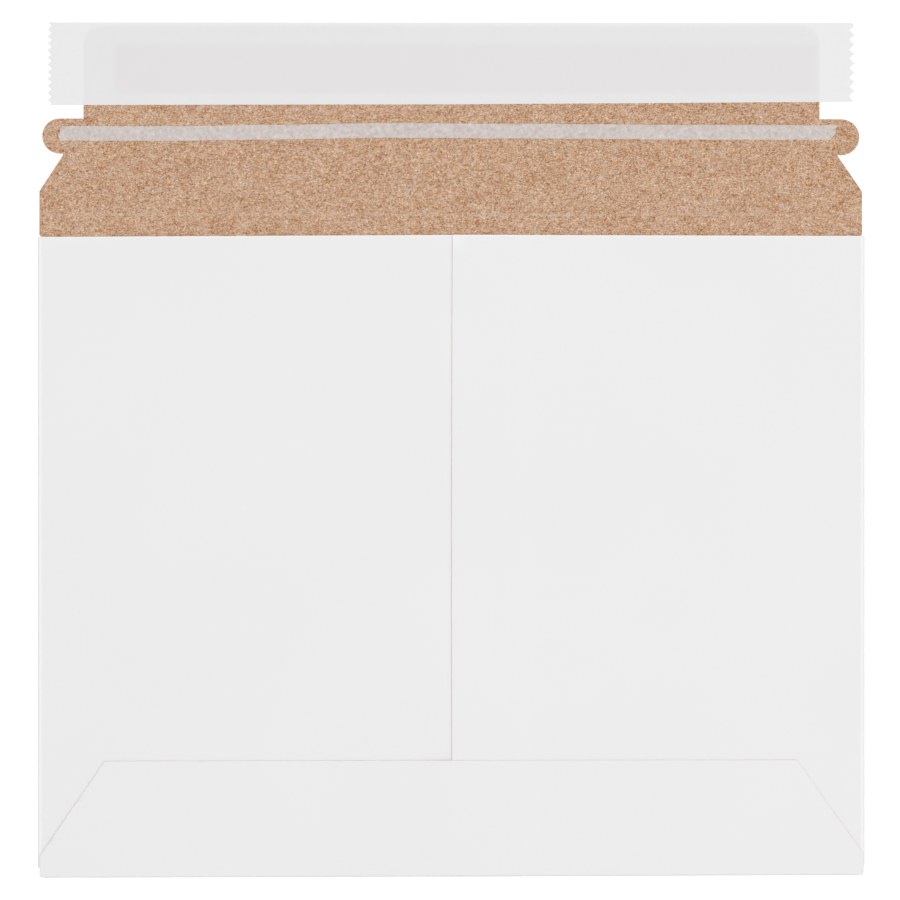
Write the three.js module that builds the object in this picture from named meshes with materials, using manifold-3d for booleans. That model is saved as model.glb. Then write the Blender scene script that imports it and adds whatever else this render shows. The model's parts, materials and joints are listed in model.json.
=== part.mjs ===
// Rigid mailer: a flat envelope folded from one die-cut blank of coated board, lying on its
// address side with the closure flap open. Millimetres. X runs along the wide side, Y from the
// bottom fold to the open mouth, Z up from the surface that it lies on. The origin is the middle
// of the front panel's outer face, halfway between the bottom fold and the scored line.

import * as THREE from 'three';
import { mergeVertices } from 'three/addons/utils/BufferGeometryUtils.js';
import Module from 'manifold-3d';

const wasm = await Module();
wasm.setup();

// Board and layers
const boardThickness = 0.71;
const pocketGap = 0.4;
const glueThickness = 0.12;

// Folded pack
const packWidth = 292.1;
const packHeight = 234.2;
const mouthSetback = 7.6;
const panelFootSetback = 3.5;
const panelInset = 0.65;
const seamEdgeX = 0.2;
const seamOverlap = 20;
const seamEdgeClearance = 1;
const seamRamp = 9;

// Scored line between the front panel and the closure flap
const scoreWidth = 1.4;
const scoreDepth = 0.12;
const scoreGap = 0.3;
const closedClearance = 0.3;

// Bottom flap, folded up over the side panels
const bottomFlapHeight = 41.2;
const bottomFlapSlantInset = 23.3;
const bottomFlapSlantFoot = 7.8;
const bottomFlapRamp = 14;
const bottomCornerRelief = 0.6;

// Closure flap, measured from the scored line and from the flap's own centre line
const flapCentreX = -0.25;
const shoulderHeight = 8.1;
const chamferInset = 8.3;
const tabInset = 1;
const tabCentreHeight = 27.35;
const tabRadius = 6.35;
const upperInset = 15.3;
const flapHeight = 66.7;
const flapCornerRadius = 6.35;

// Tear tape, ending a little inside the tips of the tabs
const tapeWidth = 5.2;
const tapeThickness = 0.1;
const tapeLeftInset = 6.2;
const tapeRightInset = 8.2;
const tapeRise = 1.35;
const tapeBow = 0.8;
const tapeRag = 0.7;

// Self-seal adhesive and its release liner
const adhesiveWidth = 16.6;
const adhesiveThickness = 0.1;
const adhesiveLeftInset = 11.9;
const adhesiveRightInset = 0.9;
const adhesiveTopInset = 6.9;
const linerThickness = 0.08;
const linerSideOverhang = 11.1;
const linerTopOverhang = 1.2;
const linerWidthLeft = 29.2;
const linerWidthRight = 27.9;
const leftTeeth = { count: 12, depth: 1.2 };
const rightTeeth = { count: 9, depth: 1.6 };

// Glue lines
const glueMargin = 3;
const glueEndMargin = 6;
const bottomGlueMargin = 7;

// Facets
const foldSegments = 12;
const flapArcSegments = 24;
const tapeSegments = 16;

// Heights of the stacked layers, from the front panel's outer face up
const panelBase = boardThickness + pocketGap;
const panelTop = panelBase + boardThickness;
const overlapBase = panelTop + glueThickness;
const overlapTop = overlapBase + boardThickness;
const flapOnPanelBase = panelTop + glueThickness;
const flapOnSeamBase = overlapTop + glueThickness;

// Lines across the pack
const bottomFoldY = -packHeight / 2;
const scoreY = packHeight / 2;
const mouthY = scoreY - mouthSetback;
const panelFootY = bottomFoldY + panelFootSetback;
const foldRadius = panelTop / 2;
const foldCentreX = packWidth / 2 - foldRadius;
const singlePanelHalf = packWidth / 2 - panelInset;
const bottomFlapTopHalf = singlePanelHalf - bottomFlapSlantInset;
const hiddenEdgeX = seamEdgeX + seamOverlap;
const overlapEndX = hiddenEdgeX + seamEdgeClearance;
const rampEndX = overlapEndX + seamRamp;

// Half widths and heights on the closure flap, from its centre line and from the scored line
const tabReach = singlePanelHalf - tabInset;
const flapUpperHalf = singlePanelHalf - upperInset;
const linerTopHeight = flapHeight + linerTopOverhang;

// Closed, the flap's innermost layer clears the seam by closedClearance
const flapStack = boardThickness + adhesiveThickness + linerThickness;
const hingeHeight = (overlapTop + closedClearance + flapStack) / 2;

const whiteBoard = { color: 0xebebeb, roughness: 0.55, metalness: 0 };
const brownBoard = { color: 0xc5a185, roughness: 0.9, metalness: 0 };
const tapeFinish = { color: 0xd0c7c3, roughness: 0.6, metalness: 0 };
const adhesiveFinish = { color: 0xd9d6d4, roughness: 0.3, metalness: 0 };
const linerFinish = { color: 0xeaeae9, roughness: 0.4, metalness: 0 };
const glueFinish = { color: 0xe6dfc8, roughness: 0.4, metalness: 0 };

function toSolid(geometry) {
  const bare = geometry.clone();
  bare.deleteAttribute('normal');
  bare.deleteAttribute('uv');
  const merged = mergeVertices(bare, 1e-5);
  return new wasm.Manifold(new wasm.Mesh({
    numProp: 3,
    vertProperties: new Float32Array(merged.attributes.position.array),
    triVerts: new Uint32Array(merged.index.array),
  }));
}

function toGeometry(solid) {
  const mesh = solid.getMesh();
  const geometry = new THREE.BufferGeometry();
  geometry.setAttribute('position', new THREE.BufferAttribute(mesh.vertProperties, 3));
  geometry.setIndex(new THREE.BufferAttribute(mesh.triVerts, 1));
  geometry.computeVertexNormals();
  return geometry;
}

function part(name, geometry, finish) {
  const mesh = new THREE.Mesh(geometry, new THREE.MeshStandardMaterial(finish));
  mesh.name = name;
  return mesh;
}

// A flat sheet cut to an outline in X and Y, its lower face at the given height
function flatSheet(outline, thickness, height, curveSegments = 1) {
  const geometry = new THREE.ExtrudeGeometry(outline, { depth: thickness, bevelEnabled: false, curveSegments });
  return geometry.translate(0, 0, height);
}

function rectangle(left, right, bottom, top) {
  const corners = [[left, bottom], [right, bottom], [right, top], [left, top]];
  return new THREE.Shape(corners.map(([x, y]) => new THREE.Vector2(x, y)));
}

// A sheet lofted between two grids of points, rows along the fold and columns along X
function loftedSheet(outer, inner) {
  const rows = outer.length;
  const columns = outer[0].length;
  const index = [];
  const at = (side, row, column) => (side * rows + row) * columns + column;
  const quad = (a, b, c, d) => index.push(a, b, c, a, c, d);
  for (let row = 0; row < rows - 1; row++) {
    for (let column = 0; column < columns - 1; column++) {
      quad(at(0, row, column), at(0, row, column + 1), at(0, row + 1, column + 1), at(0, row + 1, column));
      quad(at(1, row, column), at(1, row + 1, column), at(1, row + 1, column + 1), at(1, row, column + 1));
    }
    quad(at(0, row, 0), at(0, row + 1, 0), at(1, row + 1, 0), at(1, row, 0));
    const last = columns - 1;
    quad(at(0, row, last), at(1, row, last), at(1, row + 1, last), at(0, row + 1, last));
  }
  for (let column = 0; column < columns - 1; column++) {
    const last = rows - 1;
    quad(at(0, 0, column), at(1, 0, column), at(1, 0, column + 1), at(0, 0, column + 1));
    quad(at(0, last, column), at(0, last, column + 1), at(1, last, column + 1), at(1, last, column));
  }
  const geometry = new THREE.BufferGeometry();
  geometry.setAttribute('position', new THREE.Float32BufferAttribute([...outer, ...inner].flat(2), 3));
  geometry.setIndex(index);
  return geometry;
}

// Front panel and both side panels in one section through X and Z: the left panel runs under the
// right one, which climbs over its hidden edge and ends in the seam
function wrappedPanels() {
  const section = new THREE.Shape();
  section.moveTo(hiddenEdgeX, panelTop);
  section.lineTo(-foldCentreX, panelTop);
  section.absarc(-foldCentreX, foldRadius, foldRadius, Math.PI / 2, Math.PI * 1.5, false);
  section.lineTo(foldCentreX, 0);
  section.absarc(foldCentreX, foldRadius, foldRadius, -Math.PI / 2, Math.PI / 2, false);
  section.lineTo(rampEndX, panelTop);
  section.lineTo(overlapEndX, overlapTop);
  section.lineTo(seamEdgeX, overlapTop);
  section.lineTo(seamEdgeX, overlapBase);
  section.lineTo(overlapEndX, overlapBase);
  section.lineTo(rampEndX, panelBase);
  section.lineTo(foldCentreX, panelBase);
  section.absarc(foldCentreX, foldRadius, pocketGap / 2, Math.PI / 2, -Math.PI / 2, true);
  section.lineTo(-foldCentreX, boardThickness);
  section.absarc(-foldCentreX, foldRadius, pocketGap / 2, Math.PI * 1.5, Math.PI / 2, true);
  section.lineTo(hiddenEdgeX, panelBase);
  section.closePath();
  const geometry = new THREE.ExtrudeGeometry(section, {
    depth: mouthY - panelFootY,
    bevelEnabled: false,
    curveSegments: foldSegments,
  });
  return geometry.rotateX(Math.PI / 2).translate(0, mouthY, 0);
}

// A single-layer end of the front panel: a root inside the folded part, then its own width
function panelEnd(rootY, stepY, endY, left, right) {
  const rootHalf = foldCentreX - foldRadius;
  const outline = new THREE.Shape();
  outline.moveTo(-rootHalf, rootY);
  outline.lineTo(-rootHalf, stepY);
  outline.lineTo(left, stepY);
  outline.lineTo(left, endY);
  outline.lineTo(right, endY);
  outline.lineTo(right, stepY);
  outline.lineTo(rootHalf, stepY);
  outline.lineTo(rootHalf, rootY);
  outline.closePath();
  return flatSheet(outline, boardThickness, 0);
}

// Height of the bottom flap's underside: on the panels, and raised where it crosses the seam
function bottomFlapBase(x) {
  const rise = THREE.MathUtils.mapLinear(x, seamEdgeX - bottomFlapRamp, seamEdgeX, 0, 1);
  const fall = THREE.MathUtils.mapLinear(x, overlapEndX, rampEndX, 1, 0);
  const share = THREE.MathUtils.clamp(Math.min(rise, fall), 0, 1);
  return THREE.MathUtils.lerp(flapOnPanelBase, flapOnSeamBase, share);
}

// Bottom fold and bottom flap, from a short root on the front panel to the flap's top edge
function bottomFlap() {
  const seamColumns = [seamEdgeX - bottomFlapRamp, seamEdgeX, overlapEndX, rampEndX];
  const flapTopY = bottomFoldY + bottomFlapHeight;
  const slantFootY = bottomFoldY + bottomFlapSlantFoot;
  const outer = [];
  const inner = [];
  const addRow = (half, outerPoint, innerPoint) => {
    const columns = [-half, ...seamColumns, half];
    outer.push(columns.map((x) => [x, ...outerPoint(x)]));
    inner.push(columns.map((x) => [x, ...innerPoint(x)]));
  };
  addRow(singlePanelHalf, () => [panelFootY, 0], () => [panelFootY, boardThickness]);
  for (let step = 0; step <= foldSegments; step++) {
    const turn = (Math.PI * step) / foldSegments;
    const onArc = (x, inset) => {
      const radius = (bottomFlapBase(x) + boardThickness) / 2;
      const reach = radius - inset;
      return [bottomFoldY + radius - reach * Math.sin(turn), radius - reach * Math.cos(turn)];
    };
    const half = singlePanelHalf - bottomCornerRelief * Math.sin(turn);
    addRow(half, (x) => onArc(x, 0), (x) => onArc(x, boardThickness));
  }
  for (const [y, half] of [[slantFootY, singlePanelHalf], [flapTopY, bottomFlapTopHalf]]) {
    addRow(half, (x) => [y, bottomFlapBase(x) + boardThickness], (x) => [y, bottomFlapBase(x)]);
  }
  return loftedSheet(outer, inner);
}

// The groove pressed into the brown face on both sides of the scored line
function scoreGroove() {
  const groove = rectangle(-packWidth, packWidth, -scoreWidth / 2, scoreWidth / 2);
  return toSolid(flatSheet(groove, scoreDepth * 2, boardThickness - scoreDepth));
}

function mailerBody() {
  const stripHalf = singlePanelHalf;
  const topStrip = panelEnd(mouthY - foldRadius * 2, mouthY, scoreY - scoreGap / 2,
    flapCentreX - stripHalf, flapCentreX + stripHalf);
  const footStart = bottomFoldY + flapOnSeamBase;
  const footStrip = panelEnd(panelFootY + foldRadius * 2, panelFootY, footStart,
    -singlePanelHalf, singlePanelHalf);
  const folded = toSolid(wrappedPanels()).add(toSolid(topStrip)).add(toSolid(footStrip));
  const blank = folded.add(toSolid(bottomFlap()));
  const groove = scoreGroove().translate([0, scoreY, 0]);
  return part('mailer_body', toGeometry(blank.subtract(groove)), whiteBoard);
}

// Die-cut outline of the closure flap, from the scored line up
function closureFlapOutline() {
  const tabCentreX = tabReach - tabRadius;
  const tabBottom = tabCentreHeight - tabRadius;
  const cornerX = flapUpperHalf - flapCornerRadius;
  const cornerY = flapHeight - flapCornerRadius;
  const outline = new THREE.Shape();
  outline.moveTo(-singlePanelHalf, scoreGap / 2);
  outline.lineTo(singlePanelHalf, scoreGap / 2);
  outline.lineTo(singlePanelHalf, shoulderHeight);
  outline.lineTo(singlePanelHalf - chamferInset, tabBottom);
  outline.absarc(tabCentreX, tabCentreHeight, tabRadius, -Math.PI / 2, Math.PI / 2, false);
  outline.lineTo(flapUpperHalf, tabCentreHeight + tabRadius);
  outline.absarc(cornerX, cornerY, flapCornerRadius, 0, Math.PI / 2, false);
  outline.absarc(-cornerX, cornerY, flapCornerRadius, Math.PI / 2, Math.PI, false);
  outline.lineTo(-flapUpperHalf, tabCentreHeight + tabRadius);
  outline.absarc(-tabCentreX, tabCentreHeight, tabRadius, Math.PI / 2, Math.PI * 1.5, false);
  outline.lineTo(-singlePanelHalf + chamferInset, tabBottom);
  outline.lineTo(-singlePanelHalf, shoulderHeight);
  outline.closePath();
  return outline;
}

function closureFlap() {
  const sheet = toSolid(flatSheet(closureFlapOutline(), boardThickness, 0, flapArcSegments));
  return part('closure_flap', toGeometry(sheet.subtract(scoreGroove())), brownBoard);
}

// Centre line of the tape, which was laid with a slight bow
function tapeHeight(share) {
  return tabCentreHeight + tapeRise + tapeBow * Math.sin(Math.PI * share);
}

// The tape's ends are torn, so each breaks into a few short points
function tearTape() {
  const outline = new THREE.Shape();
  const tapeLeftX = tapeLeftInset - tabReach;
  const tapeRightX = tabReach - tapeRightInset;
  const xAt = (share) => THREE.MathUtils.lerp(tapeLeftX, tapeRightX, share);
  const rag = [0, 1, -1, 0.6, -0.4];
  outline.moveTo(tapeLeftX, tapeHeight(0) - tapeWidth / 2);
  for (let step = 1; step <= tapeSegments; step++) {
    const share = step / tapeSegments;
    outline.lineTo(xAt(share), tapeHeight(share) - tapeWidth / 2);
  }
  const across = (step) => (step / rag.length - 0.5) * tapeWidth;
  for (let step = 1; step < rag.length; step++) {
    outline.lineTo(tapeRightX + rag[step] * tapeRag, tapeHeight(1) + across(step));
  }
  for (let step = tapeSegments; step >= 0; step--) {
    const share = step / tapeSegments;
    outline.lineTo(xAt(share), tapeHeight(share) + tapeWidth / 2);
  }
  for (let step = rag.length - 1; step > 0; step--) {
    outline.lineTo(tapeLeftX + rag[step] * tapeRag, tapeHeight(0) + across(step));
  }
  outline.closePath();
  const tape = part('tear_tape', flatSheet(outline, tapeThickness, 0), tapeFinish);
  tape.position.z = boardThickness;
  return tape;
}

function adhesiveStrip() {
  const top = flapHeight - adhesiveTopInset;
  const outline = rectangle(adhesiveLeftInset - flapUpperHalf, flapUpperHalf - adhesiveRightInset,
    top - adhesiveWidth, top);
  const strip = part('adhesive_strip', flatSheet(outline, adhesiveThickness, 0), adhesiveFinish);
  strip.position.z = boardThickness;
  return strip;
}

// The liner is wider than the flap, and both its ends are pinked
function releaseLiner() {
  const outline = new THREE.Shape();
  const right = flapUpperHalf + linerSideOverhang;
  const left = -right;
  outline.moveTo(left, linerTopHeight - linerWidthLeft);
  outline.lineTo(right, linerTopHeight - linerWidthRight);
  const addTeeth = (teeth, x, direction, start, end) => {
    for (let tooth = 0; tooth < teeth.count; tooth++) {
      const tip = THREE.MathUtils.lerp(start, end, (tooth + 0.5) / teeth.count);
      const root = THREE.MathUtils.lerp(start, end, (tooth + 1) / teeth.count);
      outline.lineTo(x + direction * teeth.depth, tip);
      outline.lineTo(x, root);
    }
  };
  addTeeth(rightTeeth, right, 1, linerTopHeight - linerWidthRight, linerTopHeight);
  outline.lineTo(left, linerTopHeight);
  addTeeth(leftTeeth, left, -1, linerTopHeight, linerTopHeight - linerWidthLeft);
  const liner = part('release_liner', flatSheet(outline, linerThickness, 0), linerFinish);
  liner.position.z = boardThickness + adhesiveThickness;
  return liner;
}

function glueLine(name, left, right, bottom, top) {
  const line = part(name, flatSheet(rectangle(left, right, bottom, top), glueThickness, 0), glueFinish);
  line.position.z = panelTop;
  return line;
}

const mailer = new THREE.Group();
mailer.add(mailerBody());
mailer.add(glueLine('seam_glue', seamEdgeX + glueMargin, hiddenEdgeX - glueMargin,
  panelFootY + glueEndMargin, mouthY - glueEndMargin));

const bottomGlueFoot = panelFootY + glueMargin;
const bottomGlueTop = bottomFoldY + bottomFlapHeight - glueEndMargin;
const bottomGlueHalf = bottomFlapTopHalf - bottomGlueMargin;
mailer.add(glueLine('bottom_flap_glue_left', -bottomGlueHalf, seamEdgeX - bottomFlapRamp - bottomGlueMargin,
  bottomGlueFoot, bottomGlueTop));
mailer.add(glueLine('bottom_flap_glue_right', rampEndX + bottomGlueMargin, bottomGlueHalf,
  bottomGlueFoot, bottomGlueTop));

// The flap turns about a line above the score, at half the height of the closed pack
const flapHinge = new THREE.Group();
flapHinge.position.set(0, scoreY, hingeHeight);
const flapLayers = new THREE.Group();
flapLayers.position.set(flapCentreX, 0, -hingeHeight);
flapLayers.add(closureFlap(), tearTape(), adhesiveStrip(), releaseLiner());
flapHinge.add(flapLayers);
mailer.add(flapHinge);

export default mailer;
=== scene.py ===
import json
import math
import random

import bpy
import numpy as np
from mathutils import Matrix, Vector, geometry


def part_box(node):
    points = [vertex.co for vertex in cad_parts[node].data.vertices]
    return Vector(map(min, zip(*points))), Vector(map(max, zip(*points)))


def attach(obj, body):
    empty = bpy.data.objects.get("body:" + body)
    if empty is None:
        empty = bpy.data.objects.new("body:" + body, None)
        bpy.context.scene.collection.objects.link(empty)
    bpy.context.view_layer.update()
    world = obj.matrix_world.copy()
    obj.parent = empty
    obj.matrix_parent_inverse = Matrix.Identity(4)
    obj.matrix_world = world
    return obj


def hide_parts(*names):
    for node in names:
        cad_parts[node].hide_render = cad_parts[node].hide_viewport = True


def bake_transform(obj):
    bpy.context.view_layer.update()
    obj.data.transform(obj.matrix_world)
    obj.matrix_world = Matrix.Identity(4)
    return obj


# A rigid mailer folded from one sheet of white-coated board, lying on its address side with the
# closure flap open. The sheet is worked out flat, as it is die-cut, and is then folded.

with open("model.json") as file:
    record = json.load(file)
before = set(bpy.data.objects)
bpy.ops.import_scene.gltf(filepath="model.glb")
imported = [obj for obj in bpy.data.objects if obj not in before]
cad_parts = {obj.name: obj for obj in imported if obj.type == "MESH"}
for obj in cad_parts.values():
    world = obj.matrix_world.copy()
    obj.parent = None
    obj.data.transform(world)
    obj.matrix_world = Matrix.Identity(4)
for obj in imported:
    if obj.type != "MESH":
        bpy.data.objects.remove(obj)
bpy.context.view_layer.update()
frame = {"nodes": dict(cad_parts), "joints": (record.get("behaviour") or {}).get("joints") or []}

MM = 0.001

# Places and sizes read from the frame, in millimetres
body_low, body_high = [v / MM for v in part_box("mailer_body")]
flap_low, flap_high = [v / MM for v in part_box("closure_flap")]
tape_low, tape_high = [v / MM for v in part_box("tear_tape")]
liner_low, liner_high = [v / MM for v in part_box("release_liner")]
glue_low, glue_high = [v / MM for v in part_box("adhesive_strip")]
seam_glue_low, seam_glue_high = [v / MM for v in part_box("seam_glue")]
hinge = next(j for j in frame["joints"] if j["name"] == "flap_fold")

# How far the folds lie inside the solids' outline
BOTTOM_INSET = 0.1
SIDE_INSET = 0.1

BOARD = flap_high.z - flap_low.z
SCORE_Y = hinge["pos_m"][1] / MM
FOLD_Y = body_low.y + BOTTOM_INSET
HALF_WIDTH = body_high.x
PANEL_TOP = seam_glue_low.z
PANEL_BASE = PANEL_TOP - BOARD
OVERLAP_BASE = seam_glue_high.z
GLUE = OVERLAP_BASE - PANEL_TOP
OVERLAP_TOP = OVERLAP_BASE + BOARD
SINGLE_HALF = (flap_high.x - flap_low.x) / 2
FLAP_X = (flap_high.x + flap_low.x) / 2
FLAP_TOP = flap_high.y

# Sizes of the blank that the frame's boxes don't give, in millimetres: first the side panels,
# which meet at a seam where the right one lies over the left one
MOUTH_SETBACK = 7.6
PANEL_FOOT_SETBACK = 3.4
SEAM_X = 0.13
SEAM_BEVEL = 0.09
SEAM_OVERLAP = 20
SEAM_CLEARANCE = 1
SEAM_RAMP = 9

# The scored line that the closure flap folds on
SCORE_WIDTH = 1.4
SCORE_DEPTH = 0.07

# The bottom flap
BOTTOM_FLAP_HEIGHT = 41.3
BOTTOM_SLANT_INSET = 23.3
BOTTOM_SLANT_FOOT = 7.8
BOTTOM_FLAP_RAMP = 14
BOTTOM_CORNER = 0.6

# The closure flap, from the scored line up
SHOULDER = 8.33
CHAMFER_INSET = 8.3
TAB_INSET = 1
TAB_HEIGHT = 27.35
TAB_RADIUS = 6.35
LEFT_TAB_RADIUS = 6.17
LEFT_TAB_RISE = 0.44
UPPER_INSET = 15.3
FLAP_CORNER = 6.35

# The die cut isn't quite even: how far these edges lie inside the even outline
LEFT_SIDE_TRIM = 0.2
LEFT_UPPER_TRIM = 0.44
RIGHT_UPPER_TRIM = -0.27
RIGHT_CHAMFER_TRIM = 0.5
RIGHT_SHOULDER_DROP = 0.16
LOWER_LEFT_TRIM = 0.2
LOWER_RIGHT_TRIM = -0.15
LEFT_SLANT_TRIM = -0.13
LEFT_SLANT_DROP = 0.2

# How far two free edges lie off their straight lines, at places along them and at their ends: the
# bottom flap's top edge, from left to right, and the seam edge, from the foot to the mouth
FLAP_EDGE_RUN = ((-71, 0.0), (0, 0.2), (28, 0.18), (70, 0.24))
FLAP_END_RUN = (-0.12, 0.31)
SEAM_RUN = ((-24, 0.03), (29, 0.07))
SEAM_END_RUN = (0.2, 0.3)

# Folds are pressed: 1 leaves a fold half round, less squares it
SIDE_SQUARENESS = 0.66
BOTTOM_SQUARENESS = 0.45

# How wide the painted highlight is, where the outer face is painted lighter: beside the side folds
# and round them, along the bottom fold, where it lies a share of its turn past the front panel, and
# at the mouth
HIGHLIGHT_WIDTH = 0.42
FOLD_HIGHLIGHT_WIDTH = 0.9
BOTTOM_HIGHLIGHT_WIDTH = 0.7
BOTTOM_HIGHLIGHT_PLACE = 0.6
MOUTH_HIGHLIGHT_WIDTH = 0.42
MOUTH_HIGHLIGHT_REACH = 2

# The bottom fold runs up a little to the right
BOTTOM_TILT = 1.0
TILT_BEND = 1.3

# How far each side panel's mouth edge lies past its straight line, at the fold and at the seam
LEFT_MOUTH = (-0.3, 0.5)
RIGHT_MOUTH = (0.05, 0.45)
NOTCH_STEP = 0.7

# The bottom flap stands a little proud along its slants. Across, the lift grows from its start to its
# end; up the flap it soon reaches its full height, and then fades by a share of it
LEFT_LIFT = 0.32
RIGHT_LIFT = 0.17
LIFT_START = 50
LIFT_END = 142
LIFT_RISE = 7
LIFT_FADE_START = 8
LIFT_FADE_LENGTH = 34
LIFT_FADE = 0.55

# Die-cut edges: the pressed rim of the board, and the line inside it where the face lies flat again
RIM_INSET = 0.12
FLAT_INSET = 0.26
RIM_DROP = 0.09

# The least that an inset allows for at a sharp corner, and the angle in degrees past which the
# shading breaks at an edge
SHARPEST_CORNER = 0.6
SHARP_ANGLE = 50

# Mesh spacing, the smallest distances and areas that the mesh keeps, and the step that its slopes
# are taken over
PANEL_STEP = 5.0
RAMP_STEP = 1.6
FOLD_STEPS = 14
SCORE_STEPS = 10
ARC_STEPS = 36
MERGE = 0.04
GRID_CLEARANCE = 0.2
WELD = 1e-4
SMALLEST_AREA = 1e-9
SLOPE_STEP = 1e-3

# Photograph framing: its scale, and the pixel where the model's origin lies
PHOTO_SIZE = 900
MM_PER_PIXEL = 0.3534
ORIGIN_PIXEL_X = 451.17
ORIGIN_PIXEL_Y = 546.1
CAMERA_HEIGHT = 1.6
SENSOR = 36.0

# Lines of the folded pack
MOUTH_Y = SCORE_Y - MOUTH_SETBACK
PANEL_FOOT_Y = FOLD_Y + PANEL_FOOT_SETBACK
FOLD_RADIUS = PANEL_TOP / 2
FOLD_X = HALF_WIDTH - SIDE_INSET - FOLD_RADIUS
SIDE_ARC = math.pi * (FOLD_RADIUS - BOARD / 2)
HALF_SCORE = SCORE_WIDTH / 2
HIDDEN_EDGE_X = SEAM_X + SEAM_OVERLAP
OVERLAP_END = HIDDEN_EDGE_X + SEAM_CLEARANCE
RAMP_END = OVERLAP_END + SEAM_RAMP
FLAP_ON_PANEL = PANEL_TOP + GLUE
FLAP_ON_SEAM = OVERLAP_TOP + GLUE
BOTTOM_RADIUS = (FLAP_ON_PANEL + BOARD) / 2
BOTTOM_FLAT_Y = FOLD_Y + BOTTOM_RADIUS
BOTTOM_ARC = math.pi * (BOTTOM_RADIUS - BOARD / 2)

# Lines of the flat sheet: where a side panel starts past its fold, where it would reach the middle of
# the pack, and where it ends at the seam; where the bottom flap starts past its fold, and its free edge
PANEL_U = FOLD_X + SIDE_ARC
MIDDLE_U = FOLD_X + SIDE_ARC + FOLD_X
SEAM_U = MIDDLE_U - SEAM_X
TURNED_V = BOTTOM_FLAT_Y - BOTTOM_ARC
BOTTOM_EDGE_V = TURNED_V - (BOTTOM_FLAP_HEIGHT - BOTTOM_RADIUS)


def smooth(t):
    """Eases from 0 to 1 as t does."""
    t = np.clip(t, 0, 1)
    return t * t * (3 - 2 * t)


def steps(start, end, size):
    """Evenly spaced values from start to end, about size apart."""
    count = max(1, round(abs(end - start) / size))
    return list(np.linspace(start, end, count + 1))


def merged(values):
    """The values in order, without those that lie too close to the one before."""
    kept = []
    for value in sorted(values):
        if not kept or value - kept[-1] > MERGE:
            kept.append(value)
    return kept


def make_camera():
    data = bpy.data.cameras.new("camera")
    data.sensor_width = SENSOR
    data.lens = SENSOR * CAMERA_HEIGHT / (PHOTO_SIZE * MM_PER_PIXEL * MM)
    camera = bpy.data.objects.new("camera", data)
    bpy.context.scene.collection.objects.link(camera)
    middle = PHOTO_SIZE / 2
    x = (middle - ORIGIN_PIXEL_X) * MM_PER_PIXEL
    y = (ORIGIN_PIXEL_Y - middle) * MM_PER_PIXEL
    camera.location = (x * MM, y * MM, CAMERA_HEIGHT)
    bpy.context.scene.camera = camera


# Flat outlines

def arc(x, y, radius, start, end, count=ARC_STEPS):
    turns = np.linspace(math.radians(start), math.radians(end), count + 1)
    return [(x + radius * math.cos(a), y + radius * math.sin(a)) for a in turns]


def blank_outline():
    """The die-cut sheet laid flat, inside face up.

    u runs across and v from the bottom flap to the closure flap; the points run anticlockwise.
    """
    notch_u = FOLD_X - NOTCH_STEP / 4
    hidden_u = MIDDLE_U + HIDDEN_EDGE_X
    foot_run, mouth_run = SEAM_END_RUN
    points = bottom_free_edge()
    points += bottom_flap_side(LOWER_RIGHT_TRIM, 0)
    points += [(notch_u, PANEL_FOOT_Y), (SEAM_U - foot_run, PANEL_FOOT_Y)]
    points += [(SEAM_U - run, v) for v, run in SEAM_RUN]
    points += [(SEAM_U - mouth_run, MOUTH_Y + RIGHT_MOUTH[1]), (notch_u, MOUTH_Y + RIGHT_MOUTH[0])]
    points += closure_outline()
    points += [(-notch_u, MOUTH_Y + LEFT_MOUTH[0]), (-hidden_u, MOUTH_Y + LEFT_MOUTH[1])]
    points += [(-hidden_u, PANEL_FOOT_Y), (-notch_u, PANEL_FOOT_Y)]
    points += mirrored(bottom_flap_side(LOWER_LEFT_TRIM, LEFT_SLANT_DROP))
    return points


def bottom_free_edge():
    half = SINGLE_HALF - BOTTOM_SLANT_INSET
    left_run, right_run = FLAP_END_RUN
    middle = [(u, BOTTOM_EDGE_V - run) for u, run in FLAP_EDGE_RUN]
    left_end = (-half + LEFT_SLANT_TRIM, BOTTOM_EDGE_V - left_run)
    return [left_end] + middle + [(half, BOTTOM_EDGE_V - right_run)]


def bottom_flap_side(trim, drop):
    """One side of the bottom flap, from the foot of its slant to the notch above the fold."""
    half = SINGLE_HALF - trim
    slant_v = BOTTOM_EDGE_V + BOTTOM_FLAP_HEIGHT - BOTTOM_SLANT_FOOT + drop
    corner = (half - BOTTOM_CORNER, BOTTOM_FLAT_Y - BOTTOM_ARC / 2)
    notch = (half, PANEL_FOOT_Y - NOTCH_STEP)
    return [(half, slant_v), (half, TURNED_V), corner, (half, BOTTOM_FLAT_Y), notch]


def closure_outline():
    """The strip above the mouth and the closure flap, from the right notch round to the left one."""
    tab_foot = SCORE_Y + TAB_HEIGHT - TAB_RADIUS
    upper_half = SINGLE_HALF - UPPER_INSET
    chamfer_half = SINGLE_HALF - CHAMFER_INSET
    shoulder_y = SCORE_Y + SHOULDER
    foot = [(SINGLE_HALF, MOUTH_Y + NOTCH_STEP)]
    chamfer = [(chamfer_half, tab_foot)]
    corner = arc(upper_half - FLAP_CORNER, FLAP_TOP - FLAP_CORNER, FLAP_CORNER, 0, 90, ARC_STEPS // 2)
    right_tab = tear_tab(TAB_RADIUS, 0)
    left_tab = tear_tab(LEFT_TAB_RADIUS, LEFT_TAB_RISE)
    right_upper = [(upper_half, right_tab[-1][1])] + corner
    left_upper = [(upper_half, left_tab[-1][1])] + corner
    right = foot + [(SINGLE_HALF, shoulder_y - RIGHT_SHOULDER_DROP)]
    right += trimmed(chamfer, RIGHT_CHAMFER_TRIM) + right_tab
    right += trimmed(right_upper, RIGHT_UPPER_TRIM)
    left = foot + [(SINGLE_HALF, shoulder_y)] + chamfer
    left += [(chamfer_half, left_tab[0][1])] + left_tab
    left = trimmed(left, LEFT_SIDE_TRIM) + trimmed(left_upper, LEFT_UPPER_TRIM)
    return [(x + FLAP_X, y) for x, y in right + mirrored(left)]


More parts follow.
